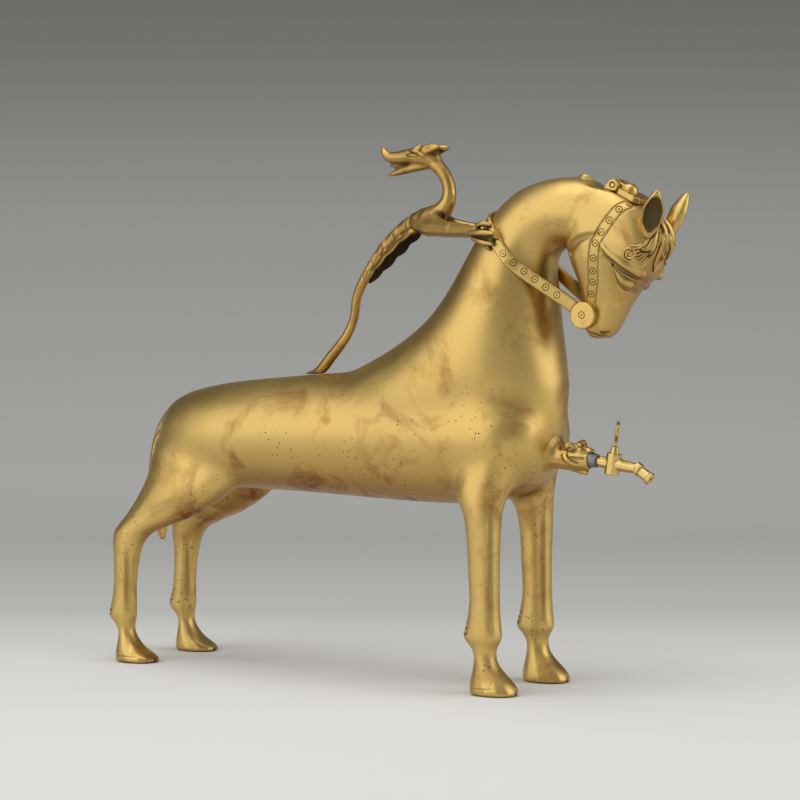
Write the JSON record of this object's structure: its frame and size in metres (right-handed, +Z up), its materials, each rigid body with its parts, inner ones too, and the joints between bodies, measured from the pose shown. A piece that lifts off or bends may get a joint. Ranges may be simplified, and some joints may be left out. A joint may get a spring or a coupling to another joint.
{
  "type": "aquamanile",
  "caption": "Cast water vessel in the form of a standing horse, filled under a hinged lid on its head, poured from a tap on its breast and carried by a dragon-shaped handle",
  "frame": {"origin": "on the ground under the middle of the whole length, in the plane of symmetry", "axes": "+X towards the head and the tap, +Y to the horse's left, +Z up"},
  "size_m": [0.3936, 0.089, 0.3317],
  "materials": {
    "latten": "satin",
    "tap_brass": "polished",
    "lead": "dull"
  },
  "bodies": {
    "vessel": {"barrel": "latten", "neck": "latten", "head": "latten", "ear_right": "latten", "ear_left": "latten", "forelock": "latten", "leg_front_right": "latten", "leg_front_left": "latten", "leg_hind_right": "latten", "leg_hind_left": "latten", "tail": "latten", "rein_right": "latten", "rein_left": "latten", "bit_boss_right": "latten", "bit_boss_left": "latten", "hinge_lugs": "latten", "hinge_pin": "tap_brass", "dragon_body": "latten", "dragon_wings": "latten", "dragon_foreleg_right": "latten", "dragon_foreleg_left": "latten", "dragon_head": "latten", "spout_mask": "latten", "lead_joint": "lead", "tap_tube": "tap_brass", "tap_body": "tap_brass", "tap_nozzle": "tap_brass"},
    "lid": {"lid": "latten"},
    "tap_key": {"tap_plug": "tap_brass", "tap_grip": "tap_brass"}
  },
  "joints": [
    {"name": "lid_hinge", "type": "hinge", "parent": "vessel", "child": "lid", "pos_m": [0.1593, 0, 0.3032], "axis": [0, -1, 0], "range_deg": [0, 105]},
    {"name": "tap_turn", "type": "hinge", "parent": "vessel", "child": "tap_key", "pos_m": [0.1565, 0, 0.1385], "axis": [0.1392, 0, 0.9903], "range_deg": [-27, 63]}
  ]
}
